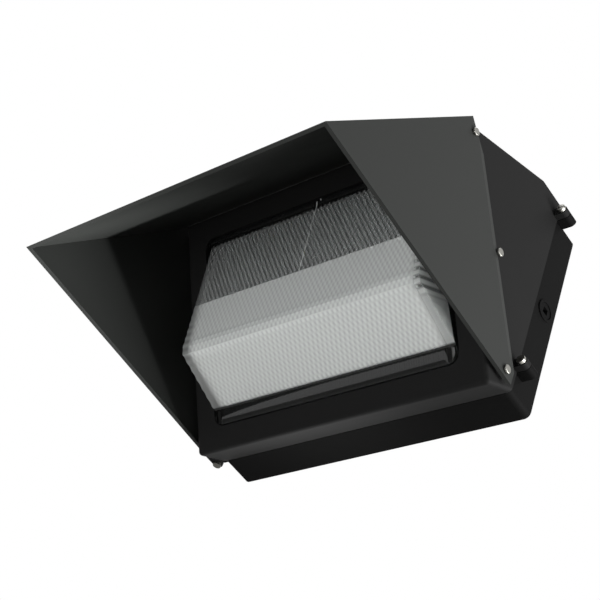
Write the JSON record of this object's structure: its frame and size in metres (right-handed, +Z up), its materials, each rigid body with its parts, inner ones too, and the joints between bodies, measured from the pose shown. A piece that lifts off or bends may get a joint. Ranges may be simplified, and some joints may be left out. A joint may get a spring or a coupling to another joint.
{
  "type": "wall pack light",
  "caption": "Wall pack light with a cast two-part housing, a sloping prismatic glass, a folded sheet metal cutoff hood and a hinged door over its lamp gear.",
  "frame": {"origin": "middle of the wall face of the rear housing", "axes": "+X to the right seen from the front, +Y into the wall, +Z up"},
  "size_m": [0.4357, 0.399, 0.3203],
  "materials": {
    "black_casting": "satin black powder coat on a die casting",
    "black_sheet": "satin black powder coat on folded steel sheet",
    "screw_steel": "bright zinc",
    "bracket_steel": "zinc plated sheet",
    "silicone": "matt",
    "refractor_glass": "pressed borosilicate, prismatic",
    "lamination_steel": "varnished laminations",
    "coil_winding": "varnished winding",
    "can_aluminium": "drawn can",
    "potting": "moulded case",
    "terminal_plastic": "moulded block",
    "terminal_brass": "plain",
    "reflector_aluminium": "hammered bright",
    "porcelain": "glazed",
    "bulb_glass": "clear",
    "arc_quartz": "frosted"
  },
  "bodies": {
    "housing": {"rear_housing": "black_casting", "housing_gasket": "silicone", "conduit_plugs": "black_casting", "hinge_pins": "screw_steel", "gear_bracket": "bracket_steel", "gear_bracket_screws": "screw_steel", "ballast_core": "lamination_steel", "ballast_coil": "coil_winding", "ballast_bolts": "screw_steel", "capacitor": "can_aluminium", "capacitor_strap": "bracket_steel", "ignitor": "potting", "terminal_block": "terminal_plastic", "terminal_block_screws": "screw_steel", "terminal_clamp_screws": "terminal_brass", "ground_screw": "screw_steel", "reflector": "reflector_aluminium", "reflector_arm_right": "bracket_steel", "reflector_arm_left": "bracket_steel", "reflector_arm_screws": "screw_steel", "reflector_screws": "screw_steel", "lamp_socket": "porcelain", "socket_shell": "terminal_brass", "socket_bracket": "bracket_steel", "socket_bracket_screws": "screw_steel"},
    "door": {"front_housing": "black_casting", "lens": "refractor_glass", "lens_gasket": "silicone", "lens_clips": "bracket_steel", "lens_clip_screws": "screw_steel", "hood": "black_sheet", "hood_screws": "screw_steel"},
    "closing_screw_upper": {"closing_screw_upper": "screw_steel"},
    "closing_screw_lower": {"closing_screw_lower": "screw_steel"},
    "lamp": {"lamp_base": "terminal_brass", "lamp_bulb": "bulb_glass", "arc_tube": "arc_quartz", "arc_tube_mount": "screw_steel"}
  },
  "joints": [
    {"name": "door_swing", "type": "hinge", "parent": "housing", "child": "door", "pos_m": [-0.2112, -0.042, 0], "axis": [0, 0, -1], "range_deg": [0, 90]},
    {"name": "closing_screw_upper_draw", "type": "slide", "parent": "door", "child": "closing_screw_upper", "axis": [0, -1, 0], "range_m": [0, 0.012]},
    {"name": "closing_screw_lower_draw", "type": "slide", "parent": "door", "child": "closing_screw_lower", "axis": [0, -1, 0], "range_m": [0, 0.012]},
    {"name": "lamp_turn", "type": "hinge", "parent": "housing", "child": "lamp", "pos_m": [-0.16, -0.13147, -0.01633], "axis": [1, 0, 0], "continuous": true}
  ]
}
